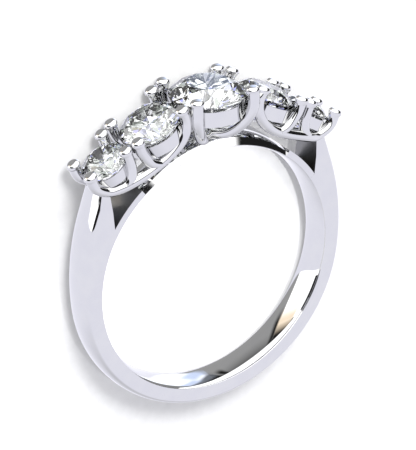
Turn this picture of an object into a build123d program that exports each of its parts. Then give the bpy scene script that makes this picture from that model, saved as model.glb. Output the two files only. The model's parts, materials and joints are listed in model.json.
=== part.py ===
from build123d import *
import os
from math import atan, cos, degrees, pi, radians, sin, tan

# A five-stone diamond engagement ring, lying on its side as it rests by itself.
# It is drawn with X along the row of stones, Y from the finger hole to the middle
# stone and Z along the finger, then tipped onto its claws and shank. Millimetres.

# Finger hole and band
BORE_RADIUS = 8.6
BORE_BULGE = 0.10
BORE_STRAIGHT_SHARE = 0.5
BORE_EDGE_SOFTENING = 0.06
BAND_WIDTH = 2.36
BAND_SIDE_HEIGHT = 0.96
BAND_DOME_HEIGHT = 0.40

# Shoulders that rise from the band to the head
SHOULDER_START_ANGLE = -7.65
SHOULDER_BEND_ANGLE = 31.66
SHOULDER_BEND_RISE = 0.877
SHOULDER_TAPER_START = 6.2
SHOULDER_TAPER_ANGLE = 7.9
SHOULDER_TOP_ALONG = 0.13
SHOULDER_TOP_BELOW = 0.96

# Open triangles between the shoulders and the bridge
WINDOW_HALF_BASE = 7.44
WINDOW_BOTTOM = 3.0
WINDOW_FLARE = 0.091

# Bridge of the finger hole, under the head
BRIDGE_THICKNESS = 0.50
BRIDGE_RIDGE_THICKNESS = 0.72
BRIDGE_BEVEL_THICKNESS = 0.6
BRIDGE_BEVEL_ANGLE = 22.0
BRIDGE_RIDGE_HALF_ANGLE = 38.0
BRIDGE_HALF_ANGLE = 62.0

# Brilliant cut, as shares of the girdle radius and in degrees
TABLE_SHARE = 0.56
CROWN_ANGLE = 34.5
UPPER_GIRDLE_ANGLE = 41.0
PAVILION_ANGLE = 40.8
LOWER_GIRDLE_ANGLE = 42.2
GIRDLE_SHARE = 0.036
CULET_SHARE = 0.03

# Stones: girdle radius, lean from the middle stone's axis, and the step from the
# neighbour's outer girdle point to this stone's inner one
CENTRE_RADIUS = 2.55
CENTRE_GIRDLE_HEIGHT = 3.53
INNER_RADIUS = 2.05
INNER_LEAN = 25.7
INNER_STEP = (-0.10, -0.21)
OUTER_RADIUS = 1.60
OUTER_LEAN = 31.2
OUTER_STEP = (0.10, -0.055)
STONE_CLEARANCE = 0.03

# Claws, their wires and the collets under the stones
CENTRE_WIRE_RADIUS = 0.41
CENTRE_FOOT_RISE = 0.08
RAIL_WIRE_RADIUS = 0.37
LEG_WIRE_RADIUS = 0.355
WIRE_START_BELOW_TIP = 0.08
TIP_RADIUS = 0.46
TIP_FOOT_RADIUS = 0.28
TIP_HEIGHT = 0.26
TIP_FLAT_SHARE = 0.35
TIP_SKIRT = 0.45
CLAW_HEIGHT = 0.60
CENTRE_CLAW_HEIGHT = 0.48
COLLET_WALL = 0.38
CENTRE_COLLET = (2.30, -0.37, -1.42)
INNER_COLLET = (2.00, -0.30, -1.18)
OUTER_COLLET = (1.50, -0.22, -0.95)
CROSSING_STEP = 0.06

# Centre claw wire: share of the claw's distance from the axis, share of the depth
CENTRE_WIRE = (
    (1.04, 0.05),
    (0.985, 0.345),
    (0.82, 0.64),
    (0.60, 0.86),
    (0.42, 0.965),
)

# Side wires, as shares of their stone's girdle radius: along the row, along the
# stone's axis, along the finger
INNER_RAIL = (
    (-0.83, 0.10, 0.89),
    (-0.75, -0.25, 0.87),
    (-0.49, -0.56, 0.84),
    (0.03, -0.81, 0.76),
    (0.83, -0.88, 0.73),
)
OUTER_RAIL = (
    (-0.84, -1.09, 0.94),
    (-0.30, -0.99, 0.92),
    (0.20, -0.92, 0.80),
    (0.55, -0.83, 0.66),
    (0.88, -0.50, 0.63),
    (1.03, -0.16, 0.64),
)
INNER_LEG = (
    (0.89, -0.05, 0.80),
    (0.86, -0.34, 0.78),
    (0.76, -0.64, 0.76),
    (0.55, -0.865, 0.745),
)
OUTER_LEG = (
    (-0.61, -0.20, 0.91),
    (-0.50, -0.51, 0.91),
    (-0.34, -0.74, 0.91),
    (-0.10, -0.90, 0.88),
    (0.20, -0.92, 0.80),
)

# Claws: angle from the row in degrees, and distance outside the girdle
CENTRE_CLAW = (45.0, 0.36)
INNER_CLAW_IN = (132.5, 0.42)
INNER_CLAW_OUT = (43.5, 0.38)
OUTER_CLAW_IN = (127.5, 0.265)
OUTER_CLAW_OUT = (34.7, 0.26)


def along(point, direction, distance):
    """The point at a distance from another, in the plane of the row."""
    return (point[0] + direction[0] * distance, point[1] + direction[1] * distance)


class Seat:
    """Where a stone sits: its girdle centre, its axis and the row's direction."""

    def __init__(self, centre, radius, lean):
        self.centre = centre
        self.radius = radius
        self.row = (cos(radians(lean)), -sin(radians(lean)))
        self.axis = (sin(radians(lean)), cos(radians(lean)))
        self.plane = Plane(
            origin=(centre[0], centre[1], 0),
            x_dir=(self.row[0], self.row[1], 0),
            z_dir=(self.axis[0], self.axis[1], 0),
        )

    def point(self, row, axis, finger):
        """A point given along the row, the stone's axis and the finger."""
        x, y = along(along(self.centre, self.row, row), self.axis, axis)
        return (x, y, finger)

    def shares(self, table):
        """Points given as shares of the girdle radius."""
        return [self.point(*(share * self.radius for share in row)) for row in table]

    def claw(self, claw, height):
        """The centre of a claw's tip at a height over the girdle."""
        angle, outside = claw
        distance = self.radius + outside
        turn = radians(angle)
        return self.point(distance * cos(turn), height, distance * sin(turn))


def seats():
    """The middle seat and the two seats on its positive side."""
    centre = Seat((0, BORE_RADIUS + CENTRE_GIRDLE_HEIGHT), CENTRE_RADIUS, 0)
    found = [centre]
    for radius, lean, step in (
        (INNER_RADIUS, INNER_LEAN, INNER_STEP),
        (OUTER_RADIUS, OUTER_LEAN, OUTER_STEP),
    ):
        last = found[-1]
        edge = along(last.centre, last.row, last.radius)
        inner_point = (edge[0] + step[0], edge[1] + step[1])
        row = Seat(inner_point, radius, lean).row
        found.append(Seat(along(inner_point, row, radius), radius, lean))
    return found


def ring_of_points(radius, height, count, start):
    """Points evenly spaced on a circle about the stone's axis."""
    turns = [radians(start + 360 * i / count) for i in range(count)]
    return [(radius * cos(t), radius * sin(t), height) for t in turns]


def brilliant(radius):
    """A round brilliant: table, crown, girdle of 16 faces, pavilion and small culet."""
    half_girdle = GIRDLE_SHARE * radius / 2
    eighth = pi / 8
    crown = tan(radians(CROWN_ANGLE))
    upper = tan(radians(UPPER_GIRDLE_ANGLE)) * cos(eighth / 2)
    pavilion = tan(radians(PAVILION_ANGLE))
    lower = tan(radians(LOWER_GIRDLE_ANGLE)) * cos(eighth / 2)
    star_radius = radius * (upper - crown) / (upper - crown * cos(eighth))
    lower_radius = radius * (lower - pavilion) / (lower - pavilion * cos(eighth))
    table_radius = TABLE_SHARE * radius
    culet_radius = CULET_SHARE * radius

    table = ring_of_points(table_radius, half_girdle + crown * (radius - table_radius), 8, 0)
    star = ring_of_points(star_radius, half_girdle + upper * (radius - star_radius), 8, 22.5)
    top = ring_of_points(radius, half_girdle, 16, 0)
    bottom = ring_of_points(radius, -half_girdle, 16, 0)
    keel = ring_of_points(lower_radius, -half_girdle - lower * (radius - lower_radius), 8, 22.5)
    culet = ring_of_points(culet_radius, -half_girdle - pavilion * (radius - culet_radius), 8, 0)

    facets = [table, culet]
    for i in range(8):
        after, here = (i + 1) % 8, 2 * i
        middle, last = here + 1, (here + 2) % 16
        facets.append([table[i], table[after], star[i]])
        facets.append([table[i], star[i - 1], top[here], star[i]])
        facets.append([star[i], top[here], top[middle]])
        facets.append([star[i], top[middle], top[last]])
        facets.append([top[here], top[middle], bottom[middle], bottom[here]])
        facets.append([top[middle], top[last], bottom[last], bottom[middle]])
        facets.append([keel[i], bottom[here], bottom[middle]])
        facets.append([keel[i], bottom[middle], bottom[last]])
        facets.append([culet[i], keel[i - 1], bottom[here], keel[i]])
        facets.append([culet[i], keel[i], culet[after]])
    return Solid(Shell([Face(Wire.make_polygon(facet)) for facet in facets]))


def seat_cutter(seat):
    """The stone's room in the metal: its turned outline with the clearance all round."""
    gap = STONE_CLEARANCE
    radius = seat.radius + gap
    half_girdle = GIRDLE_SHARE * seat.radius / 2 + gap
    crown = tan(radians(CROWN_ANGLE))
    pavilion = tan(radians(LOWER_GIRDLE_ANGLE))
    crown_height = crown * radius * (1 - TABLE_SHARE)
    outline = Polyline(
        (0, -half_girdle - pavilion * radius),
        (radius, -half_girdle),
        (radius, half_girdle),
        (radius * TABLE_SHARE, half_girdle + crown_height),
        (0, half_girdle + crown_height),
        close=True,
    )
    turned = revolve(Plane.XZ * make_face(outline), Axis.Z)
    return (seat.plane.location * turned).solid()


def collet(seat, sizes):
    """The short tube that a stone sits on."""
    outside, top, bottom = sizes
    tube = Cylinder(outside, top - bottom) - Cylinder(outside - COLLET_WALL, top - bottom)
    return (seat.plane.location * (Pos(0, 0, (top + bottom) / 2) * tube)).solid()


def claw_tip(seat, place):
    """The domed end of a claw."""
    flat = TIP_RADIUS * TIP_FLAT_SHARE
    side = Line((TIP_RADIUS, 0), (TIP_FOOT_RADIUS, -TIP_SKIRT))
    dome = EllipticalCenterArc((flat, 0), TIP_RADIUS - flat, TIP_HEIGHT, 0, arc_size=90)
    rest = Polyline((flat, TIP_HEIGHT), (0, TIP_HEIGHT), (0, -TIP_SKIRT), (TIP_FOOT_RADIUS, -TIP_SKIRT))
    turned = revolve(Plane.XZ * make_face([side, dome, rest]), Axis.Z)
    plane = Plane(origin=place, x_dir=seat.plane.x_dir, z_dir=seat.plane.z_dir)
    return (plane.location * turned).solid()


def wire(points, radius):
    """A round wire along a smooth line through points."""
    path = Spline(*points)
    section = Plane(origin=path @ 0, z_dir=path % 0) * Circle(radius)
    return sweep(section, path=path).solid()


def mirrored(shapes, plane):
    """The shapes and their mirror images."""
    return shapes + [shape.mirror(plane) for shape in shapes]


def joined(first, *others):
    """Solids soldered to the first one after another."""
    for other in others:
        first = first.fuse(other)
    return first


def centre_foot():
    """The height at which the lower wire of the middle basket crosses the bridge."""
    return BORE_RADIUS + BRIDGE_RIDGE_THICKNESS + CENTRE_FOOT_RISE


def centre_wire(seat, foot):
    """One wire of the middle basket, from a claw over the bridge to the claw opposite."""
    angle, outside = CENTRE_CLAW
    distance = seat.radius + outside
    depth = seat.centre[1] - foot
    turn = radians(angle)
    arm = [(distance, CENTRE_CLAW_HEIGHT - WIRE_START_BELOW_TIP)]
    arm += [(share * distance, -low * depth) for share, low in CENTRE_WIRE]
    outline = arm + [(0, -depth)] + [(-out, height) for out, height in reversed(arm)]
    points = [seat.point(out * cos(turn), height, out * sin(turn)) for out, height in outline]
    return wire(points, CENTRE_WIRE_RADIUS)


def centre_basket(seat):
    """Two crossed wires whose four ends are the claws of the middle stone."""
    over = centre_wire(seat, centre_foot() + CROSSING_STEP)
    under = centre_wire(seat, centre_foot()).mirror(Plane.XY)
    tip = claw_tip(seat, seat.claw(CENTRE_CLAW, CENTRE_CLAW_HEIGHT))
    tips = mirrored(mirrored([tip], Plane.YZ), Plane.XY)
    return joined(over, under, *tips, collet(seat, CENTRE_COLLET))


def side_gallery(inner, outer):
    """The wires, claws and collets of the two stones on the positive side."""
    start = CLAW_HEIGHT - WIRE_START_BELOW_TIP
    rail = (
        [inner.claw(INNER_CLAW_IN, start)]
        + inner.shares(INNER_RAIL)
        + outer.shares(OUTER_RAIL)
        + [outer.claw(OUTER_CLAW_OUT, start)]
    )
    inner_leg = [inner.claw(INNER_CLAW_OUT, start)] + inner.shares(INNER_LEG)
    outer_leg = [outer.claw(OUTER_CLAW_IN, start)] + outer.shares(OUTER_LEG)
    legs = [wire(points, LEG_WIRE_RADIUS) for points in (inner_leg, outer_leg)]
    tips = [
        claw_tip(seat, seat.claw(claw, CLAW_HEIGHT))
        for seat, claw in (
            (inner, INNER_CLAW_IN),
            (inner, INNER_CLAW_OUT),
            (outer, OUTER_CLAW_IN),
            (outer, OUTER_CLAW_OUT),
        )
    ]
    front = joined(wire(rail, RAIL_WIRE_RADIUS), *legs, *tips)
    collets = [collet(inner, INNER_COLLET), collet(outer, OUTER_COLLET)]
    return joined(front, *collets, front.mirror(Plane.XY))


def polar(radius, angle):
    """The point at a radius and an angle from the row's direction."""
    return (radius * cos(radians(angle)), radius * sin(radians(angle)))


def shank(outer):
    """The domed band with its two rising shoulders, open above the bridge."""
    crest = BORE_RADIUS + BAND_SIDE_HEIGHT + BAND_DOME_HEIGHT
    half = BAND_WIDTH / 2
    depth = 2 * (BAND_SIDE_HEIGHT + BAND_DOME_HEIGHT)
    start = polar(crest, SHOULDER_START_ANGLE)
    bend = polar(crest + SHOULDER_BEND_RISE, SHOULDER_BEND_ANGLE)
    top_along = outer.radius + SHOULDER_TOP_ALONG
    top = outer.point(top_along, -SHOULDER_TOP_BELOW, 0)[:2]
    tangent = (sin(radians(-SHOULDER_START_ANGLE)), cos(radians(SHOULDER_START_ANGLE)))
    lower_rise = TangentArc(start, bend, tangent=tangent)
    upper_rise = TangentArc(bend, top, tangent=lower_rise % 1)
    low_end = (-start[0], start[1])
    hoop = ThreePointArc(start, (0, -crest), low_end)
    rises = [lower_rise, upper_rise]
    path = Wire([edge for line in mirrored(rises, Plane.YZ) + [hoop] for edge in line.edges()])
    begin = path @ 0
    heading = path % 0
    out = Vector(heading.Y, -heading.X, 0)
    outward = out if out.dot(Vector(begin.X, begin.Y, 0)) > 0 else -out
    frame = Plane(origin=begin, x_dir=outward, z_dir=heading)
    dome = EllipticalCenterArc((-BAND_DOME_HEIGHT, 0), BAND_DOME_HEIGHT, half, -90, arc_size=180)
    sides = Polyline(
        (-BAND_DOME_HEIGHT, half),
        (-depth, half),
        (-depth, -half),
        (-BAND_DOME_HEIGHT, -half),
    )
    section = frame * make_face([dome, sides])
    return sweep(section, path=path)


def shoulder_taper():
    """Wedges that narrow the shoulders towards the head, in front and behind."""
    half = BAND_WIDTH / 2
    rise = 2 * BORE_RADIUS - SHOULDER_TAPER_START
    depth = tan(radians(SHOULDER_TAPER_ANGLE)) * rise
    triangle = Polyline((0, 0), (rise, 0), (rise, -depth), close=True)
    side = Plane(origin=(0, SHOULDER_TAPER_START, half), x_dir=(0, 1, 0), z_dir=(1, 0, 0))
    wedge = extrude(side * make_face(triangle), amount=2 * BORE_RADIUS, both=True)
    return mirrored([wedge.solid()], Plane.XY)


def window():
    """The open triangles between the shoulders and the bridge."""
    top = 2 * BORE_RADIUS
    outline = Polyline(
        (-WINDOW_HALF_BASE, WINDOW_BOTTOM),
        (WINDOW_HALF_BASE, WINDOW_BOTTOM),
        (WINDOW_HALF_BASE + WINDOW_FLARE * (top - WINDOW_BOTTOM), top),
        (-WINDOW_HALF_BASE - WINDOW_FLARE * (top - WINDOW_BOTTOM), top),
        close=True,
    )
    block = extrude(make_face(outline), amount=BAND_WIDTH, both=True)
    return block - Cylinder(BORE_RADIUS + BRIDGE_THICKNESS, 4 * BAND_WIDTH)


def bridge():
    """The top of the finger hole: plain at its ends, bevelled and ridged between."""
    half = BAND_WIDTH / 2
    inside = BORE_RADIUS - BORE_BULGE - BORE_EDGE_SOFTENING
    outside = BORE_RADIUS + BRIDGE_THICKNESS
    ridge = BORE_RADIUS + BRIDGE_RIDGE_THICKNESS
    bevel = BORE_RADIUS + BRIDGE_BEVEL_THICKNESS
    slope = tan(radians(BRIDGE_BEVEL_ANGLE))

    beyond = ridge + BRIDGE_THICKNESS
    beyond_half = half - (beyond - BORE_RADIUS) * slope
    bevelled = Polyline(
        (beyond, beyond_half),
        (BORE_RADIUS, half),
        (inside, half),
        (inside, -half),
        (BORE_RADIUS, -half),
        (beyond, -beyond_half),
        close=True,
    )
    turned = revolve(Plane.XZ * make_face(bevelled), Axis.Z, 2 * BRIDGE_RIDGE_HALF_ANGLE)
    arch = Rot(0, 0, 90 - BRIDGE_RIDGE_HALF_ANGLE) * turned

    ends = cos(radians(BRIDGE_RIDGE_HALF_ANGLE))
    offset = (BRIDGE_RIDGE_THICKNESS - BRIDGE_THICKNESS) / (1 - ends)
    crest = ridge - offset
    shoulder = bevel - offset
    shoulder_half = half - BRIDGE_BEVEL_THICKNESS * slope
    crown = ThreePointArc((shoulder, shoulder_half), (crest, 0), (shoulder, -shoulder_half))
    spread = Polyline(
        (shoulder, shoulder_half),
        (shoulder - BRIDGE_THICKNESS, half + BRIDGE_THICKNESS),
        (0, half + BRIDGE_THICKNESS),
        (0, -half - BRIDGE_THICKNESS),
        (shoulder - BRIDGE_THICKNESS, -half - BRIDGE_THICKNESS),
        (shoulder, -shoulder_half),
    )
    domed = revolve(Plane.XZ * make_face([crown, spread]), Axis.Z)
    middle = arch & (Pos(0, offset, 0) * domed)

    wall = Plane.XZ * (Pos((inside + outside) / 2, 0) * Rectangle(outside - inside, BAND_WIDTH))
    end_size = BRIDGE_HALF_ANGLE - BRIDGE_RIDGE_HALF_ANGLE
    end = Rot(0, 0, 90 - BRIDGE_HALF_ANGLE) * revolve(wall, Axis.Z, end_size)
    return [middle.solid()] + mirrored([end.solid()], Plane.YZ)


def bore():
    """The finger hole: straight in the middle, wider towards its softened edges."""
    half = BAND_WIDTH / 2
    soft = BORE_EDGE_SOFTENING
    narrow = BORE_RADIUS - BORE_BULGE
    straight = half * BORE_STRAIGHT_SHARE
    flare = half - soft - straight
    widening = Pos(0, 0, straight + flare / 2) * Cone(narrow, BORE_RADIUS, flare)
    edge = Pos(0, 0, half) * Cone(BORE_RADIUS, BORE_RADIUS + 2 * soft, 2 * soft)
    cones = mirrored([widening.solid(), edge.solid()], Plane.XY)
    return [Cylinder(narrow, 2 * BAND_WIDTH)] + cones


def resting(seat):
    """The turn that lays the ring down, from the claw wire to the edge of the band."""
    angle, outside = CENTRE_CLAW
    bulge, low = CENTRE_WIRE[0]
    depth = seat.centre[1] - centre_foot()
    claw_side = bulge * (seat.radius + outside) * sin(radians(angle)) + CENTRE_WIRE_RADIUS
    claw_height = seat.centre[1] - low * depth
    band_side = BAND_WIDTH / 2
    band_height = BORE_RADIUS + BAND_SIDE_HEIGHT
    return Rot(degrees(atan((claw_side - band_side) / (claw_height + band_height))), 0, 0)


def main():
    centre, inner, outer = seats()
    band = shank(outer).cut(*shoulder_taper(), window())
    gallery = side_gallery(inner, outer)
    soldered = joined(band, *bridge(), centre_basket(centre), gallery, gallery.mirror(Plane.YZ))
    rooms = [seat_cutter(seat) for seat in (centre, inner, outer)]
    rooms += [seat_cutter(seat).mirror(Plane.YZ) for seat in (inner, outer)]
    stones = [seat.plane.location * brilliant(seat.radius) for seat in (centre, inner, outer)]

    nodes = {
        "ring_mounting": soldered.cut(*rooms, *bore()),
        "centre_diamond": stones[0],
        "right_inner_diamond": stones[1],
        "left_inner_diamond": stones[1].mirror(Plane.YZ),
        "right_outer_diamond": stones[2],
        "left_outer_diamond": stones[2].mirror(Plane.YZ),
    }
    laid = {name: (resting(centre) * shape).solid() for name, shape in nodes.items()}
    box = Compound(list(laid.values())).bounding_box()
    ground = Pos(-box.center().X, -box.center().Y, -box.min.Z)

    os.makedirs("parts", exist_ok=True)
    for name, shape in laid.items():
        export_step(ground * shape, "parts/" + name + ".step")


main()
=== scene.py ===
import json
import math

import bpy
import numpy as np
from mathutils import Matrix, Vector


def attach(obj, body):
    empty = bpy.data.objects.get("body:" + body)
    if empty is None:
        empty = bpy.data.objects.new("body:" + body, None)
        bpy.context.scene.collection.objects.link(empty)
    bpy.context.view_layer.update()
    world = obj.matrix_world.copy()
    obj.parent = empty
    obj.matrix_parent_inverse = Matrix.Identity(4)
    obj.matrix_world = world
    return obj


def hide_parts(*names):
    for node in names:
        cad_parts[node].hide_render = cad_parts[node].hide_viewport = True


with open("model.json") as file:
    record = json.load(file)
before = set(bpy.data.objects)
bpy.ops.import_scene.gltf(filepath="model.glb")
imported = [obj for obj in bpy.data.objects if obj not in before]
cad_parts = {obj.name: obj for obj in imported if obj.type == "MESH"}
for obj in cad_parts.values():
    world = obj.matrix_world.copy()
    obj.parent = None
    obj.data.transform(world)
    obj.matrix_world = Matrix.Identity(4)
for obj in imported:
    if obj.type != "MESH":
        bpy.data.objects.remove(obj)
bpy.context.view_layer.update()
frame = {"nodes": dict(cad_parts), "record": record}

scene = bpy.context.scene
MM = 0.001

# Finger hole, band and shoulders, as in the part (millimetres and degrees)
BORE_RADIUS = 8.6
HALF_WIDTH = 1.18
SIDE_HEIGHT = 0.96
DOME_HEIGHT = 0.40
CREST = BORE_RADIUS + SIDE_HEIGHT + DOME_HEIGHT
SHOULDER_START = -7.65
SHOULDER_BEND = (CREST + 0.877, 31.66)
SHOULDER_TOP = (0.13, -0.96)
TAPER_START = 6.2
TAPER = math.tan(math.radians(7.9))
WINDOW_HALF_BASE = 7.44
WINDOW_BOTTOM = 3.0
WINDOW_FLARE = 0.091

# The hole's wall is one smooth curve here, from its narrowest radius to rounded edges.
# It widens with the square and the sixth power of the distance from the middle.
BORE_NARROW = 8.5
BULGE_SQUARE = 0.075
BULGE_SIXTH = 0.0224
EDGE_ROUNDING = 0.04

# Bridge under the head. Its plain ends are sunk a little in front and behind, so that
# they share no surface with the band.
BRIDGE_THICKNESS = 0.50
RIDGE_THICKNESS = 0.72
BEVEL_THICKNESS = 0.60
BEVEL = math.tan(math.radians(22.0))
RIDGE_HALF_ANGLE = 38.0
CREASE_NEAREST = 0.3
SUNK = 0.002

# Stones: girdle radius, lean, step from the neighbour's outer girdle point
CENTRE_RADIUS = 2.55
CENTRE_GIRDLE_HEIGHT = 3.53
INNER = (2.05, 25.7, (-0.10, -0.21))
OUTER = (1.60, 31.2, (0.10, -0.055))

# Claws, wires and collets
CENTRE_WIRE_RADIUS = 0.41
CENTRE_FOOT_RISE = 0.08
CROSSING_STEP = 0.06
RAIL_WIRE_RADIUS = 0.37
LEG_WIRE_RADIUS = 0.355
START_BELOW_TIP = 0.08
TIP_RADIUS = 0.46
TIP_FOOT_RADIUS = 0.28
TIP_HEIGHT = 0.26
TIP_FLAT_SHARE = 0.35
TIP_SKIRT = 0.45
TIP_PINHOLE = 0.0005
CLAW_HEIGHT = 0.60
CENTRE_CLAW_HEIGHT = 0.48
COLLET_WALL = 0.38
STONE_CLEARANCE = 0.03
GIRDLE_SHARE = 0.036
PAVILION = math.tan(math.radians(42.2))

# A collet's outside radius, top and bottom, from the stone's girdle
CENTRE_COLLET = (2.30, -0.37, -1.42)
INNER_COLLET = (2.00, -0.30, -1.18)
OUTER_COLLET = (1.50, -0.22, -0.95)

# A claw's angle from the row and its distance outside the girdle
CENTRE_CLAW = (45.0, 0.36)
INNER_CLAW_IN = (132.5, 0.42)
INNER_CLAW_OUT = (43.5, 0.38)
OUTER_CLAW_IN = (127.5, 0.265)
OUTER_CLAW_OUT = (34.7, 0.26)

# A centre wire's points: shares of the claw's distance and of the depth to the bridge
CENTRE_WIRE = ((1.025, 0.05), (0.985, 0.345), (0.82, 0.64), (0.60, 0.86), (0.42, 0.965))

# The side wires' points: shares of the stone's radius along the row, its axis and the finger
INNER_RAIL = (
    (-0.83, 0.10, 0.89),
    (-0.75, -0.25, 0.87),
    (-0.49, -0.56, 0.84),
    (0.03, -0.81, 0.76),
    (0.83, -0.88, 0.73),
)
OUTER_RAIL = (
    (-0.84, -1.09, 0.94),
    (-0.30, -0.99, 0.92),
    (0.20, -0.92, 0.80),
    (0.55, -0.83, 0.66),
    (0.88, -0.50, 0.63),
    (1.03, -0.16, 0.64),
)
INNER_LEG = (
    (0.89, -0.05, 0.80),
    (0.86, -0.34, 0.78),
    (0.76, -0.64, 0.76),
    (0.55, -0.865, 0.745),
)
OUTER_LEG = (
    (-0.61, -0.20, 0.91),
    (-0.50, -0.51, 0.91),
    (-0.34, -0.74, 0.91),
    (-0.10, -0.90, 0.88),
    (0.20, -0.92, 0.80),
)

# How finely the meshes are cut, and how often a value that depends on itself is refined.
# A wire's rings start from a direction that no wire starts along.
HOOP_STEPS = 60
RISE_STEPS = 36
DOME_ANGLES = (-90, -89.6, -88.5, -86, -82, *range(-76, 77, 8), 82, 86, 88.5, 89.6, 90)
EDGE_STEPS = 6
BORE_STEPS = 16
RIDGE_STEPS = 96
CROWN_STEPS = 8
PLAIN_STEPS = 32
WIRE_STEPS = 120
LONG_WIRE_STEPS = 200
WIRE_SIDES = 32
ASLANT = (0.3, 0.5, 0.8)
TIP_SIDES = 40
TIP_ARC_STEP = 10
COLLET_SIDES = 96
EDGE_ROUNDS = 4
BEVEL_ROUNDS = 20
CREASE_HALVINGS = 40

# The camera, in the ring's own frame: X along the stones, Y to the head, Z the finger
CAMERA_PLACE = (-69.94, 69.02, 110.02)
CAMERA_RIGHT = (0.84373, -0.00019, 0.53676)
CAMERA_DOWN = (-0.24339, -0.89142, 0.38227)
CAMERA_FORWARD = (0.47841, -0.45318, -0.75217)
CAMERA_FOCAL = 2241.96
FRAME_HEIGHT = 450
SENSOR = 36.0
CLIP_START = 0.001
CLIP_END = 10

# The ring's own frame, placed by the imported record's finger hole
hole = frame["record"]["mounts"][0]
ring_z = Vector(hole["axis"]).normalized()
ring_x = Vector((1, 0, 0))
ring_y = ring_z.cross(ring_x)
ring_turn = Matrix((ring_x, ring_y, ring_z)).transposed().to_4x4()
PLACE = Matrix.Translation(Vector(hole["pos_m"])) @ ring_turn


class Seat:
    """Where a stone sits: its girdle centre, its axis and the row's direction."""

    def __init__(self, centre, radius, lean):
        self.centre = np.array(centre, float)
        self.radius = radius
        turn = math.radians(lean)
        self.row = np.array((math.cos(turn), -math.sin(turn), 0))
        self.axis = np.array((math.sin(turn), math.cos(turn), 0))
        self.finger = np.array((0, 0, 1.0))

    def point(self, row, axis, finger):
        return self.centre + self.row * row + self.axis * axis + self.finger * finger

    def shares(self, table):
        """Points given as shares of the stone's radius."""
        return [self.point(*(share * self.radius for share in row)) for row in table]

    def claw(self, claw, height):
        angle, outside = claw
        distance = self.radius + outside
        turn = math.radians(angle)
        return self.point(distance * math.cos(turn), height, distance * math.sin(turn))


def make_seats():
    """The seats of the middle, inner and outer stone, each placed from the one before."""
    found = [Seat((0, BORE_RADIUS + CENTRE_GIRDLE_HEIGHT, 0), CENTRE_RADIUS, 0)]
    for radius, lean, step in (INNER, OUTER):
        last = found[-1]
        inner_point = last.centre + last.row * last.radius + np.array((step[0], step[1], 0))
        row = Seat((0, 0, 0), radius, lean).row
        found.append(Seat(inner_point + row * radius, radius, lean))
    return found


centre, inner, outer = make_seats()


# Mesh building
def in_scene(name, data):
    """A new object in the scene."""
    made = bpy.data.objects.new(name, data)
    scene.collection.objects.link(made)
    return made


class Shell:
    """Gathers grids and strips of points in the ring's frame into one mesh."""

    def __init__(self):
        self.points = []
        self.faces = []
        self.smooth = []
        self.finish = []

    def add(self, points, faces, smooth, finish=0):
        start = len(self.points)
        self.points += [tuple(p) for p in points]
        self.faces += [tuple(start + i for i in face) for face in faces]
        self.smooth += [smooth] * len(faces)
        self.finish += [finish] * len(faces)

    def take(self, other):
        """All that another shell has gathered."""
        start = len(self.points)
        self.points += other.points
        self.faces += [tuple(start + i for i in face) for face in other.faces]
        self.smooth += other.smooth
        self.finish += other.finish

    def grid(self, rows, smooth=True, closed_along=False, closed_across=False, finish=0):
        """Rows of points, joined to the next row and along each row."""
        n, m = len(rows), len(rows[0])
        points = [p for row in rows for p in row]
        faces = []
        for i in range(n if closed_along else n - 1):
            for j in range(m if closed_across else m - 1):
                a, b = i * m + j, i * m + (j + 1) % m
                c, d = ((i + 1) % n) * m + (j + 1) % m, ((i + 1) % n) * m + j
                faces.append((a, b, c, d))
        self.add(points, faces, smooth, finish)

    def flat(self, points):
        """One flat face."""
        self.add(points, [tuple(range(len(points)))], False)

    def mirrored(self, axis):
        """The same faces again on the other side of the ring."""
        start = len(self.points)
        flip = [1, 1, 1]
        flip[axis] = -1
        self.points += [tuple(c * f for c, f in zip(p, flip)) for p in self.points]
        self.faces += [tuple(start + i for i in reversed(face)) for face in self.faces]
        self.smooth += self.smooth
        self.finish += self.finish

    def piece(self, name, *materials):
        """The mesh as an object; a face's finish is the number of its material."""
        mesh = bpy.data.meshes.new(name)
        mesh.from_pydata([PLACE @ (Vector(p) * MM) for p in self.points], [], self.faces)
        for material in materials:
            mesh.materials.append(material)
        mesh.polygons.foreach_set("use_smooth", self.smooth)
        mesh.polygons.foreach_set("material_index", self.finish)
        mesh.update()
        return in_scene(name, mesh)


def tangent_arc(start, tangent, end, steps):
    """Points and outward normals of the arc that leaves start along tangent and ends at
    end, and the direction in which it ends."""
    start, tangent, end = (np.array(v, float) for v in (start, tangent, end))
    side = np.array((-tangent[1], tangent[0]))
    chord = end - start
    radius = chord.dot(chord) / (2 * chord.dot(side))
    middle = start + side * radius
    first = math.atan2(*(start - middle)[::-1])
    sweep = math.atan2(*(end - middle)[::-1]) - first
    sweep = (sweep + math.pi) % (2 * math.pi) - math.pi
    found = []
    for i in range(steps + 1):
        turn = first + sweep * i / steps
        out = np.array((math.cos(turn), math.sin(turn)))
        point = middle + abs(radius) * out
        normal = out if radius > 0 else -out
        found.append((point, normal))
    last = found[-1][1]
    return found, np.array((-last[1], last[0]))


def polar(radius, angle):
    """The point at a radius and an angle (degrees) from the row's direction."""
    return radius * np.array((math.cos(math.radians(angle)), math.sin(math.radians(angle))))


def crest_stations():
    """Points and normals of the band's crest from the bottom to the right shoulder's top."""
    found = []
    for i in range(HOOP_STEPS):
        angle = -90 + (SHOULDER_START + 90) * i / HOOP_STEPS
        found.append((polar(CREST, angle), polar(1, angle)))
    start = polar(CREST, SHOULDER_START)
    heading = polar(1, SHOULDER_START + 90)
    bend = polar(*SHOULDER_BEND)
    lower, heading = tangent_arc(start, heading, bend, RISE_STEPS)
    top = outer.point(outer.radius + SHOULDER_TOP[0], SHOULDER_TOP[1], 0)[:2]
    upper, heading = tangent_arc(bend, heading, top, RISE_STEPS)
    return found + lower[:-1] + upper


def half_width(y):
    """Half the band's width at a height over the finger hole's centre."""
    return HALF_WIDTH - max(0.0, y - TAPER_START) * TAPER


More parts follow.
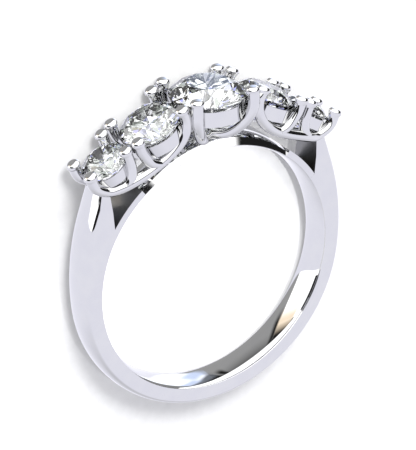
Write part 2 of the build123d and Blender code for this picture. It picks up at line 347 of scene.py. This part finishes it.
def window_wall(y):
    """Half the window's width at that height."""
    return WINDOW_HALF_BASE + WINDOW_FLARE * (y - WINDOW_BOTTOM)


def bore_radius(z):
    """The finger hole bulges inwards and widens towards its edges."""
    return BORE_NARROW + BULGE_SQUARE * z**2 + BULGE_SIXTH * z**6


def bore_profile(end):
    """Radius and height across the finger hole's wall, with rounded edges."""
    middle = end - EDGE_ROUNDING
    lean = math.atan(2 * BULGE_SQUARE * end + 6 * BULGE_SIXTH * end**5)
    reach = middle + EDGE_ROUNDING * math.sin(lean)
    outer_radius = bore_radius(reach) + EDGE_ROUNDING * math.cos(lean)
    edge = []
    for i in range(EDGE_STEPS + 1):
        turn = math.pi / 2 + (lean - math.pi / 2) * i / EDGE_STEPS
        r = outer_radius - EDGE_ROUNDING * math.cos(turn)
        edge.append((r, middle + EDGE_ROUNDING * math.sin(turn)))
    heights = [reach * k / BORE_STEPS for k in range(BORE_STEPS - 1, -BORE_STEPS, -1)]
    wall = [(bore_radius(z), z) for z in heights]
    return edge + wall + [(r, -z) for r, z in reversed(edge)]


def dome_depth(z):
    """How far the domed outside lies under its crest."""
    return DOME_HEIGHT * (1 - math.sqrt(max(0.0, 1 - (z / HALF_WIDTH) ** 2)))


def inner_end(point, normal):
    """Where the line into the band comes out: at the window's wall or at the bore."""
    slope = normal[0] - WINDOW_FLARE * normal[1]
    to_wall = (point[0] - window_wall(point[1])) / slope
    wall = point - normal * to_wall
    if wall[1] > 0 and np.hypot(*wall) > BORE_RADIUS + BRIDGE_THICKNESS:
        return wall, "wall"
    along = point.dot(normal)
    edge_radius = bore_profile(HALF_WIDTH)[0][0]
    to_bore = along - math.sqrt(along**2 - point.dot(point) + edge_radius**2)
    return point - normal * to_bore, "bore"


def band():
    """The band with its shoulders, and the angle from the top at which its bore ends."""
    shell = Shell()
    dome, front, walls, bores = [], [], [], []
    for point, normal in crest_stations():
        width = half_width(point[1])
        for _ in range(EDGE_ROUNDS):
            edge = point - normal * dome_depth(width)
            width = half_width(edge[1])
        widest = math.degrees(math.asin(min(1.0, width / HALF_WIDTH)))
        row = []
        for angle in DOME_ANGLES:
            z = HALF_WIDTH * math.sin(math.radians(angle * widest / 90))
            at = point - normal * dome_depth(z)
            row.append((at[0], at[1], z))
        dome.append(row)
        end, kind = inner_end(point, normal)
        end_width = half_width(end[1])
        front.append([(edge[0], edge[1], width), (end[0], end[1], end_width)])
        if kind == "wall":
            walls.append([(end[0], end[1], end_width), (end[0], end[1], -end_width)])
        else:
            out = end / np.hypot(*end)
            bores.append([(out[0] * r, out[1] * r, z) for r, z in bore_profile(end_width)])
            bore_end = math.atan2(out[0], out[1])
    shell.grid(dome)
    shell.grid(front, smooth=False)
    shell.grid([[(x, y, -z) for x, y, z in row] for row in front], smooth=False)
    # The window walls take the second material: satin metal whose dark colour is painted shade.
    shell.grid(walls, smooth=False, finish=1)
    shell.grid(bores)
    x, y, z = front[-1][1]
    shell.flat([(x, y, -z)] + dome[-1] + [(x, y, z)])
    shell.mirrored(0)
    return shell, bore_end


def bridge(plain_end):
    """The top of the hole: bevelled and crowned in the middle, plain at both ends."""
    half_angle = math.radians(RIDGE_HALF_ANGLE)
    offset = (RIDGE_THICKNESS - BRIDGE_THICKNESS) / (1 - math.cos(half_angle))
    crest = BORE_RADIUS + RIDGE_THICKNESS - offset
    crown_half = HALF_WIDTH - BEVEL_THICKNESS * BEVEL
    drop = RIDGE_THICKNESS - BEVEL_THICKNESS
    crown_radius = (crown_half**2 + drop**2) / (2 * drop)

    def crown(turn, z):
        """The crown's radius from the hole's middle; it is turned about a higher one."""
        own = crest - crown_radius + math.sqrt(crown_radius**2 - z**2)
        return offset * math.cos(turn) + math.sqrt(own**2 - (offset * math.sin(turn)) ** 2)

    def at(turn, r, z):
        return (r * math.sin(turn), r * math.cos(turn), z)

    bevel_half = HALF_WIDTH
    for _ in range(BEVEL_ROUNDS):
        bevel_half = HALF_WIDTH - (bore_profile(bevel_half)[0][0] - BORE_RADIUS) * BEVEL
    bevel_bore = bore_profile(bevel_half)

    # In each section the crown and the bevel meet in a crease, which is closed in on
    bores, bevels, crowns = [], [], []
    for i in range(RIDGE_STEPS + 1):
        turn = half_angle * (2 * i / RIDGE_STEPS - 1)
        low, high = CREASE_NEAREST, HALF_WIDTH
        for _ in range(CREASE_HALVINGS):
            z = (low + high) / 2
            if crown(turn, z) > BORE_RADIUS + (HALF_WIDTH - z) / BEVEL:
                high = z
            else:
                low = z
        across = [low * s / CROWN_STEPS for s in range(-CROWN_STEPS, CROWN_STEPS + 1)]
        bores.append([at(turn, r, z) for r, z in bevel_bore])
        bevels.append([at(turn, *bevel_bore[0]), at(turn, crown(turn, low), low)])
        crowns.append([at(turn, crown(turn, z), z) for z in across])
    shell = Shell()
    shell.grid(bores)
    for side in (1, -1):
        shell.grid([[(x, y, z * side) for x, y, z in row] for row in bevels])
    shell.grid(crowns)

    inside = bore_profile(HALF_WIDTH)[0][0]
    outside = BORE_RADIUS + BRIDGE_THICKNESS
    side = HALF_WIDTH - SUNK
    bores, fronts, backs, tops = [], [], [], []
    for i in range(PLAIN_STEPS + 1):
        turn = half_angle + (plain_end - half_angle) * i / PLAIN_STEPS
        bores.append([at(turn, r, z) for r, z in bore_profile(HALF_WIDTH)])
        fronts.append([at(turn, inside, side), at(turn, outside, side)])
        backs.append([at(turn, inside, -side), at(turn, outside, -side)])
        tops.append([at(turn, outside, side), at(turn, outside, -side)])
    plain = Shell()
    plain.grid(bores)
    plain.grid(fronts, smooth=False)
    plain.grid(backs, smooth=False)
    # The plain tops take the second material: satin metal whose dark colour is painted shade.
    plain.grid(tops, finish=1)
    for end in (0, -1):
        plain.flat([fronts[end][1]] + bores[end] + [backs[end][1]])
    plain.mirrored(0)
    shell.take(plain)
    return shell


def spline(points, steps):
    """A smooth line through points: a natural cubic over the chords."""
    points = np.array(points, float)
    gaps = np.linalg.norm(np.diff(points, axis=0), axis=1)
    knots = np.concatenate([[0], np.cumsum(gaps)])
    n = len(points)
    left = np.zeros((n, n))
    right = np.zeros((n, 3))
    left[0, 0] = left[-1, -1] = 1
    for i in range(1, n - 1):
        left[i, i - 1] = gaps[i - 1]
        left[i, i] = 2 * (gaps[i - 1] + gaps[i])
        left[i, i + 1] = gaps[i]
        before = (points[i] - points[i - 1]) / gaps[i - 1]
        after = (points[i + 1] - points[i]) / gaps[i]
        right[i] = 6 * (after - before)
    bend = np.linalg.solve(left, right)
    found = []
    for t in np.linspace(0, knots[-1], steps + 1):
        i = min(int(np.searchsorted(knots, t, side="right")) - 1, n - 2)
        h, a = gaps[i], (knots[i + 1] - t) / gaps[i]
        b = 1 - a
        curve = ((a**3 - a) * bend[i] + (b**3 - b) * bend[i + 1]) * h**2 / 6
        found.append(a * points[i] + b * points[i + 1] + curve)
    return np.array(found)


def wire(shell, points, radius, steps=WIRE_STEPS):
    """A round wire with flat ends along a smooth line."""
    path = spline(points, steps)
    heading = np.gradient(path, axis=0)
    heading /= np.linalg.norm(heading, axis=1)[:, None]
    turns = [2 * math.pi * k / WIRE_SIDES for k in range(WIRE_SIDES)]
    side = np.cross(heading[0], ASLANT)
    rows = []
    for at, ahead in zip(path, heading):
        side = side - ahead * side.dot(ahead)
        side /= np.linalg.norm(side)
        up = np.cross(ahead, side)
        rows.append([at + radius * (side * math.cos(t) + up * math.sin(t)) for t in turns])
    shell.grid(rows, closed_across=True)
    shell.flat(list(reversed(rows[0])))
    shell.flat(rows[-1])


def turned(shell, seat, place, profile, sides):
    """A profile of radius and height turned about a line along the stone's axis."""
    rows = []
    for k in range(sides):
        t = 2 * math.pi * k / sides
        out = seat.row * math.cos(t) + seat.finger * math.sin(t)
        rows.append([place + out * r + seat.axis * h for r, h in profile])
    shell.grid(rows, closed_along=True)


def claw_tip(shell, seat, place):
    """The domed end of a claw."""
    flat = TIP_RADIUS * TIP_FLAT_SHARE
    profile = [(TIP_FOOT_RADIUS, -TIP_SKIRT), (TIP_RADIUS, 0)]
    for turn in range(0, 91, TIP_ARC_STEP):
        t = math.radians(turn)
        profile.append((flat + (TIP_RADIUS - flat) * math.cos(t), TIP_HEIGHT * math.sin(t)))
    profile.append((TIP_PINHOLE, TIP_HEIGHT))
    turned(shell, seat, place, profile, TIP_SIDES)


def collet(shell, seat, sizes):
    """The short tube that a stone sits on, with a cone-shaped seat."""
    outside, top, bottom = sizes
    inside = outside - COLLET_WALL
    gap = STONE_CLEARANCE
    half_girdle = GIRDLE_SHARE * seat.radius / 2 + gap
    rim = seat.radius + gap + (top + half_girdle) / PAVILION
    seat_end = (inside - seat.radius - gap) * PAVILION - half_girdle
    corners = [
        (outside, bottom),
        (outside, top),
        (rim, top),
        (inside, seat_end),
        (inside, bottom),
        (outside, bottom),
    ]
    for profile in zip(corners, corners[1:]):
        turned(shell, seat, seat.centre, profile, COLLET_SIDES)


def centre_wire(shell, foot):
    """One wire of the middle basket, from a claw over the bridge to the claw opposite."""
    angle, outside = CENTRE_CLAW
    distance = centre.radius + outside
    depth = centre.centre[1] - foot
    turn = math.radians(angle)
    arm = [(distance, CENTRE_CLAW_HEIGHT - START_BELOW_TIP)]
    arm += [(share * distance, -low * depth) for share, low in CENTRE_WIRE]
    outline = arm + [(0, -depth)] + [(-out, height) for out, height in reversed(arm)]
    row, finger = math.cos(turn), math.sin(turn)
    points = [centre.point(out * row, height, out * finger) for out, height in outline]
    wire(shell, points, CENTRE_WIRE_RADIUS, LONG_WIRE_STEPS)


def centre_wires():
    """Two crossed wires, of which one passes over the other."""
    foot = BORE_RADIUS + RIDGE_THICKNESS + CENTRE_FOOT_RISE
    shell, under = Shell(), Shell()
    centre_wire(shell, foot + CROSSING_STEP)
    centre_wire(under, foot)
    points = [(x, y, -z) for x, y, z in under.points]
    shell.add(points, [tuple(reversed(face)) for face in under.faces], True)
    return shell


def side_wires():
    """The four rails and eight legs that carry the side stones."""
    start = CLAW_HEIGHT - START_BELOW_TIP
    rail = (
        [inner.claw(INNER_CLAW_IN, start)]
        + inner.shares(INNER_RAIL)
        + outer.shares(OUTER_RAIL)
        + [outer.claw(OUTER_CLAW_OUT, start)]
    )
    shell = Shell()
    wire(shell, rail, RAIL_WIRE_RADIUS, LONG_WIRE_STEPS)
    for seat, claw, leg in (
        (inner, INNER_CLAW_OUT, INNER_LEG),
        (outer, OUTER_CLAW_IN, OUTER_LEG),
    ):
        wire(shell, [seat.claw(claw, start)] + seat.shares(leg), LEG_WIRE_RADIUS)
    shell.mirrored(2)
    shell.mirrored(0)
    return shell


def claw_tips():
    """The tips of all twenty claws."""
    shell = Shell()
    for seat, claw, height in (
        (centre, CENTRE_CLAW, CENTRE_CLAW_HEIGHT),
        (inner, INNER_CLAW_IN, CLAW_HEIGHT),
        (inner, INNER_CLAW_OUT, CLAW_HEIGHT),
        (outer, OUTER_CLAW_IN, CLAW_HEIGHT),
        (outer, OUTER_CLAW_OUT, CLAW_HEIGHT),
    ):
        claw_tip(shell, seat, seat.claw(claw, height))
    shell.mirrored(2)
    shell.mirrored(0)
    return shell


def side_collets():
    shell = Shell()
    collet(shell, inner, INNER_COLLET)
    collet(shell, outer, OUTER_COLLET)
    shell.mirrored(0)
    return shell


def centre_collet():
    shell = Shell()
    collet(shell, centre, CENTRE_COLLET)
    return shell


# Materials. Scales are those of the noise; a scene unit is a metre.
NOISE_LOW, NOISE_HIGH = 0.35, 0.65
CLOUD_SCALE, CLOUD_DETAIL = 900, 3
CLOUD_DARKER, CLOUD_LIGHTER = 0.985, 1.015
MARK_SCALE, MARK_DETAIL = 4000, 6
GRAIN_SCALE, GRAIN_DEPTH = 2500, 0.00002
DIAMOND_IOR = 2.417
TINT_SCALE, TINT_DETAIL = 700, 2
TINT_GREEN, TINT_LILAC = (0.93, 0.955, 0.945), (0.99, 0.985, 1.0)
PAPER_SCALE, PAPER_DETAIL = 1500, 4
PAPER_DARKER, PAPER_LIGHTER = 0.57, 0.60
PAPER_ROUGHNESS = 0.9
PAPER_SPECULAR = 0.1
PAPER_GLOW = 0.05


def grey(level):
    return (level, level, level)


def new_material(name, sockets):
    """A material, its node tree and its shader with these values."""
    material = bpy.data.materials.new(name)
    material.use_nodes = True
    shader = material.node_tree.nodes["Principled BSDF"]
    for socket, value in sockets.items():
        shader.inputs[socket].default_value = value
    return material, material.node_tree, shader


def varied(tree, scale, detail, low, high, socket):
    """Link a socket to fine noise between two values or colours."""
    place = tree.nodes.new("ShaderNodeTexCoord")
    noise = tree.nodes.new("ShaderNodeTexNoise")
    noise.inputs["Scale"].default_value = scale
    noise.inputs["Detail"].default_value = detail
    ramp = tree.nodes.new("ShaderNodeValToRGB")
    first, second = ramp.color_ramp.elements
    first.position, second.position = NOISE_LOW, NOISE_HIGH
    first.color, second.color = (*low, 1), (*high, 1)
    tree.links.new(place.outputs["Object"], noise.inputs["Vector"])
    tree.links.new(noise.outputs["Fac"], ramp.inputs["Fac"])
    tree.links.new(ramp.outputs["Color"], socket)


def white_gold(name, shade, roughness, wear, grain):
    """Rhodium-plated white gold: faint clouds in the plating and fine polishing marks."""
    material, tree, shader = new_material(name, {"Metallic": 1.0})
    darker, lighter = shade * CLOUD_DARKER, shade * CLOUD_LIGHTER
    cloud = (darker, darker, shade)
    varied(tree, CLOUD_SCALE, CLOUD_DETAIL, cloud, grey(lighter), shader.inputs["Base Color"])
    marks = grey(roughness), grey(roughness + wear)
    varied(tree, MARK_SCALE, MARK_DETAIL, *marks, shader.inputs["Roughness"])
    place = tree.nodes.new("ShaderNodeTexCoord")
    noise = tree.nodes.new("ShaderNodeTexNoise")
    noise.inputs["Scale"].default_value = GRAIN_SCALE
    bump = tree.nodes.new("ShaderNodeBump")
    bump.inputs["Strength"].default_value = grain
    bump.inputs["Distance"].default_value = GRAIN_DEPTH
    tree.links.new(place.outputs["Object"], noise.inputs["Vector"])
    tree.links.new(noise.outputs["Fac"], bump.inputs["Height"])
    tree.links.new(bump.outputs["Normal"], shader.inputs["Normal"])
    return material


def diamond():
    """Clear, colourless stone with a very faint change of tint."""
    sockets = {"Transmission Weight": 1.0, "Roughness": 0.0, "IOR": DIAMOND_IOR}
    material, tree, shader = new_material("diamond", sockets)
    colour = shader.inputs["Base Color"]
    varied(tree, TINT_SCALE, TINT_DETAIL, TINT_GREEN, TINT_LILAC, colour)
    return material


gold = white_gold("white_gold", shade=0.65, roughness=0.02, wear=0.03, grain=0.02)
# Satin: rougher metal for the window walls and the bridge's plain tops. Its dark colour is
# painted shade for these recesses, not the metal's own colour.
painted_shade_satin = white_gold("white_gold_painted_shade_satin", shade=0.22, roughness=0.28, wear=0.10, grain=0.15)
stone_material = diamond()

shank, bore_end = band()
pieces = [
    shank.piece("band", gold, painted_shade_satin),
    bridge(bore_end).piece("bridge", gold, painted_shade_satin),
    centre_wires().piece("centre_wires", gold),
    side_wires().piece("side_wires", gold),
    claw_tips().piece("claw_tips", gold),
    side_collets().piece("side_collets", gold),
    centre_collet().piece("centre_collet", gold),
]
for piece in pieces:
    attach(piece, "root")
    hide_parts("ring_mounting")

for name, node in frame["nodes"].items():
    if name.endswith("diamond"):
        node.data.materials.clear()
        node.data.materials.append(stone_material)

# Floor: pale paper that mirror and glass rays don't see
FLOOR_REACH = 0.6
paper, paper_tree, paper_shader = new_material(
    "floor_paper",
    {
        "Roughness": PAPER_ROUGHNESS,
        "Specular IOR Level": PAPER_SPECULAR,
        "Emission Color": (1, 1, 1, 1),
        "Emission Strength": PAPER_GLOW,
    },
)
paper_greys = grey(PAPER_DARKER), grey(PAPER_LIGHTER)
varied(paper_tree, PAPER_SCALE, PAPER_DETAIL, *paper_greys, paper_shader.inputs["Base Color"])
floor_mesh = bpy.data.meshes.new("floor")
corners = [(x * FLOOR_REACH, y * FLOOR_REACH, 0) for x, y in ((-1, -1), (1, -1), (1, 1), (-1, 1))]
floor_mesh.from_pydata(corners, [], [(0, 1, 2, 3)])
floor_mesh.materials.append(paper)
floor = in_scene("floor", floor_mesh)
floor.visible_glossy = False
floor.visible_transmission = False


def floor_lamp(name, kind, power):
    """A lamp that only the floor shows."""
    made = in_scene(name, bpy.data.lights.new(name, kind))
    made.data.energy = power
    made.visible_glossy = False
    made.visible_transmission = False
    return made


# A soft lamp beyond the head gives the shadow below the band
LAMP_TURN = -8.0
LAMP_RISE = 46.0
LAMP_DISTANCE = 0.30
LAMP_WIDTH = 0.10
LAMP_POWER = 0.80
lamp = floor_lamp("lamp", "AREA", LAMP_POWER)
lamp.data.shape = "DISK"
lamp.data.size = LAMP_WIDTH
rise, turn = math.radians(LAMP_RISE), math.radians(LAMP_TURN)
along = math.cos(rise)
towards = Vector((math.sin(turn) * along, math.cos(turn) * along, math.sin(rise)))
lamp_turn = towards.to_track_quat("Z", "Y").to_matrix().to_4x4()
lamp.matrix_world = Matrix.Translation(towards * LAMP_DISTANCE) @ lamp_turn

# A narrow one straight above the hole clears the head's shadow inside it
FILL_HEIGHT = 0.15
FILL_RADIUS = 0.0091
FILL_POWER = 0.9
FILL_BLEND = 0.05
FILL_SOFTNESS = 0.002
fill = floor_lamp("fill", "SPOT", FILL_POWER)
fill.data.spot_size = 2 * math.atan(FILL_RADIUS / FILL_HEIGHT)
fill.data.spot_blend = FILL_BLEND
fill.data.shadow_soft_size = FILL_SOFTNESS
fill.location = (hole["pos_m"][0], hole["pos_m"][1], FILL_HEIGHT)

# World: what the metal mirrors, painted from the first panel to the last, in the ring's frame.
# Each panel: from and to around, from and to up (degrees), softness around and up, colour.
FLOOR_GLOW = (1.106, 1.106, 1.223)
WHITE = grey(2.2)
BLACK = grey(0.02)
PANELS = (
    (147, 213, -10, 58, 0.8, 1, grey(0.46)),
    (147, 213, 50, 90, 0.8, 13, grey(0.11)),
    (149, 154, 38, 60, 2, 5, BLACK),
    (100, 129, 2, 38, 3, 5, grey(0.34)),
    (207, 213, 25, 60, 3, 8, BLACK),
    (-48, 38, 9.3, 100, 1.5, 0.8, WHITE),
    (213, 250, -10, 35, 0.7, 1.5, WHITE),
    (249, 276, -10, 2.6, 1, 0.5, WHITE),
    (212, 236, 26, 39, 1.5, 7, (1.5, 1.25, 0.95)),
    (-400, 400, -100, -1.8, 1, 0.25, FLOOR_GLOW),
    (-400, 400, -100, -46, 1, 14, (0.94, 0.94, 1.03)),
    (-400, 400, -100, -66, 1, 10, (0.80, 0.80, 0.86)),
    (118, 147, 28, 42, 3, 5, (0.26, 0.28, 0.32)),
    (123.5, 146.0, -6, 31, 2.0, 3, (1.9, 1.95, 2.1)),
    (138, 148, 12, 28, 3, 5, (0.95, 1.10, 1.45)),
    (123, 138, 23, 33, 3, 4, (0.95, 1.10, 1.45)),
)
AROUND_FROM, AROUND_TO = -90, 270

# A white ceiling: how far it goes left, right, back and front as shares of its height,
# the softness of its edges, and the lowest height at which the shares are taken
CEILING = (-1.6, 1.6, -0.65, 6, 0.04)
CEILING_LOWEST = 0.001

# Cells that the diamonds show from within: the ramp that a random value picks a colour from
SPARKLE_SCALE = 3.6
SPARKLE_STRENGTH = 1.9
SPARKLE = (
    (0.0, (0.01, 0.01, 0.012)),
    (0.18, (0.13, 0.14, 0.13)),
    (0.30, (0.30, 0.33, 0.30)),
    (0.44, (0.40, 0.42, 0.80)),
    (0.51, (0.56, 0.58, 0.56)),
    (0.66, (1.0, 1.0, 1.0)),
)
world = bpy.data.worlds.new("studio")
scene.world = world
world.use_nodes = True
studio = world.node_tree


def math_node(operation, *values):
    """A node for the operation; sockets are linked and numbers are set."""
    made = studio.nodes.new("ShaderNodeMath")
    made.operation = operation
    for socket, value in zip(made.inputs, values):
        if isinstance(value, (int, float)):
            socket.default_value = value
        else:
            studio.links.new(value, socket)
    return made.outputs[0]


def rising(value, at, soft):
    """0 below at, 1 above it, with a smooth step of the given softness."""
    made = studio.nodes.new("ShaderNodeMapRange")
    made.interpolation_type = "SMOOTHSTEP"
    studio.links.new(value, made.inputs["Value"])
    made.inputs["From Min"].default_value = at - soft
    made.inputs["From Max"].default_value = at + soft
    return made.outputs["Result"]


def within(value, low, high, soft):
    """1 between low and high, 0 outside."""
    return math_node("SUBTRACT", rising(value, low, soft), rising(value, high, soft))


def mixed(factor, below, above):
    """One colour painted over another; sockets are linked and colours are set."""
    made = studio.nodes.new("ShaderNodeMix")
    made.data_type = "RGBA"
    studio.links.new(factor, made.inputs["Factor"])
    for name, value in (("A", below), ("B", above)):
        if isinstance(value, tuple):
            made.inputs[name].default_value = (*value, 1)
        else:
            studio.links.new(value, made.inputs[name])
    return made.outputs["Result"]


coords = studio.nodes.new("ShaderNodeTexCoord")
level = studio.nodes.new("ShaderNodeVectorRotate")
level.rotation_type = "X_AXIS"
level.inputs["Angle"].default_value = math.atan2(ring_z.y, ring_z.z)
studio.links.new(coords.outputs["Generated"], level.inputs["Vector"])
parts = studio.nodes.new("ShaderNodeSeparateXYZ")
studio.links.new(level.outputs[0], parts.inputs[0])
swing = math_node("DEGREES", math_node("ARCTAN2", parts.outputs["X"], parts.outputs["Z"]))
around = math_node("WRAP", swing, AROUND_TO, AROUND_FROM)
up = math_node("DEGREES", math_node("ARCSINE", parts.outputs["Y"]))
colour = BLACK
for low, high, bottom, top, soft_around, soft_up, shade in PANELS:
    strip, belt = within(around, low, high, soft_around), within(up, bottom, top, soft_up)
    colour = mixed(math_node("MULTIPLY", strip, belt), colour, shade)

left, right, back, front, soft = CEILING
height = math_node("MAXIMUM", parts.outputs["Y"], CEILING_LOWEST)
sideways = within(math_node("DIVIDE", parts.outputs["X"], height), left, right, soft)
forwards = within(math_node("DIVIDE", parts.outputs["Z"], height), back, front, soft)
colour = mixed(math_node("MULTIPLY", sideways, forwards), colour, WHITE)

# What the diamonds show from within: bright and dark cells with a faint fire
cells = studio.nodes.new("ShaderNodeTexVoronoi")
cells.inputs["Scale"].default_value = SPARKLE_SCALE
studio.links.new(coords.outputs["Generated"], cells.inputs["Vector"])
pick = studio.nodes.new("ShaderNodeSeparateColor")
studio.links.new(cells.outputs["Color"], pick.inputs["Color"])
sparkle = studio.nodes.new("ShaderNodeValToRGB")
sparkle.color_ramp.interpolation = "CONSTANT"
for position, _ in SPARKLE[1:-1]:
    sparkle.color_ramp.elements.new(position)
for element, (position, shade) in zip(sparkle.color_ramp.elements, SPARKLE):
    element.position = position
    element.color = (*shade, 1)
studio.links.new(pick.outputs[0], sparkle.inputs["Fac"])
strength = studio.nodes.new("ShaderNodeVectorMath")
strength.operation = "SCALE"
strength.inputs["Scale"].default_value = SPARKLE_STRENGTH
studio.links.new(sparkle.outputs["Color"], strength.inputs[0])
path = studio.nodes.new("ShaderNodeLightPath")
seen = mixed(path.outputs["Is Transmission Ray"], colour, strength.outputs[0])
studio.links.new(seen, studio.nodes["Background"].inputs["Color"])

# Camera, as fitted to the photo's outlines
camera_data = bpy.data.cameras.new("camera")
camera_data.sensor_width = SENSOR
camera_data.lens = CAMERA_FOCAL * SENSOR / FRAME_HEIGHT
camera_data.clip_start = CLIP_START
camera_data.clip_end = CLIP_END
camera = in_scene("camera", camera_data)
axes = Matrix((Vector(CAMERA_RIGHT), -Vector(CAMERA_DOWN), -Vector(CAMERA_FORWARD)))
camera_turn = axes.transposed().to_4x4()
camera.matrix_world = PLACE @ Matrix.Translation(Vector(CAMERA_PLACE) * MM) @ camera_turn
scene.camera = camera

# Reflections inside a diamond count as glossy. With few of them, deep facets stay dark.
scene.view_settings.view_transform = "Standard"
scene.cycles.max_bounces = 24
scene.cycles.transmission_bounces = 20
scene.cycles.glossy_bounces = 4
